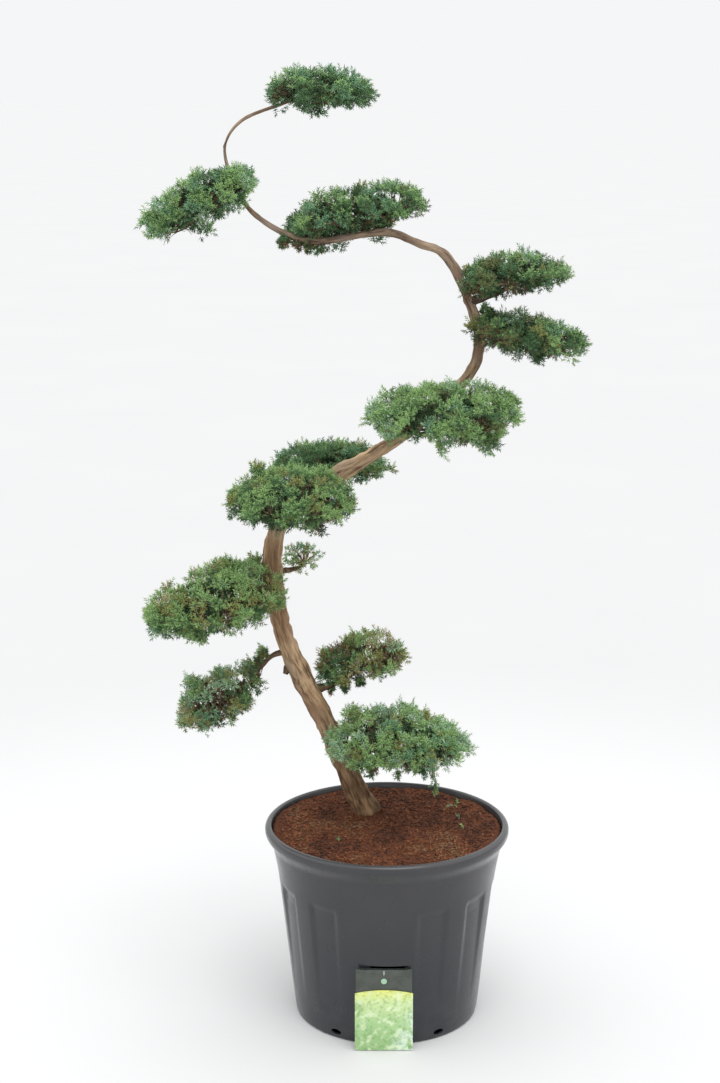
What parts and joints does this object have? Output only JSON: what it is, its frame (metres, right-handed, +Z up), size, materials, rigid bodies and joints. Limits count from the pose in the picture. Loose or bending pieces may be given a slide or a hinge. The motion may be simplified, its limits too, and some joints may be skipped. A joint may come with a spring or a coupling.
{
  "type": "juniper bonsai in a nursery pot",
  "caption": "Tall cloud-pruned juniper bonsai with a bent trunk and clipped pads of foliage, growing in a round black nursery pot with a rolled rim and a hanging label.",
  "frame": {"origin": "centre of the pot's flat underside, on the surface that the pot stands on", "axes": "+Z up along the pot's axis, -Y towards the front with the label, +X to the right seen from the front"},
  "size_m": [1.0539, 0.6004, 2.2702],
  "materials": {
    "bark": "matte",
    "needles": "matte",
    "pot_plastic": "satin",
    "compost": "matte",
    "label_film": "satin",
    "label_print": "satin"
  },
  "bodies": {
    "root": {"trunk_foot": "bark", "trunk_shoulder": "bark", "trunk_elbow": "bark", "trunk_bridge": "bark", "trunk_crook": "bark", "trunk_tip": "bark", "bough_bottom_right": "bark", "bough_low_right": "bark", "bough_low_left": "bark", "bough_left": "bark", "bough_middle_back": "bark", "bough_right_lower": "bark", "bough_right_upper": "bark", "pad_bottom_right": "needles", "pad_low_right": "needles", "pad_low_left": "needles", "pad_left": "needles", "pad_middle_left": "needles", "pad_middle_back": "needles", "pad_middle_right": "needles", "pad_right_lower": "needles", "pad_right_upper": "needles", "pad_upper_middle": "needles", "pad_upper_left": "needles", "pad_top": "needles", "tuft_back": "needles", "pot": "pot_plastic", "soil": "compost", "label_strip": "label_film", "label_card": "label_print"}
  },
  "joints": []
}
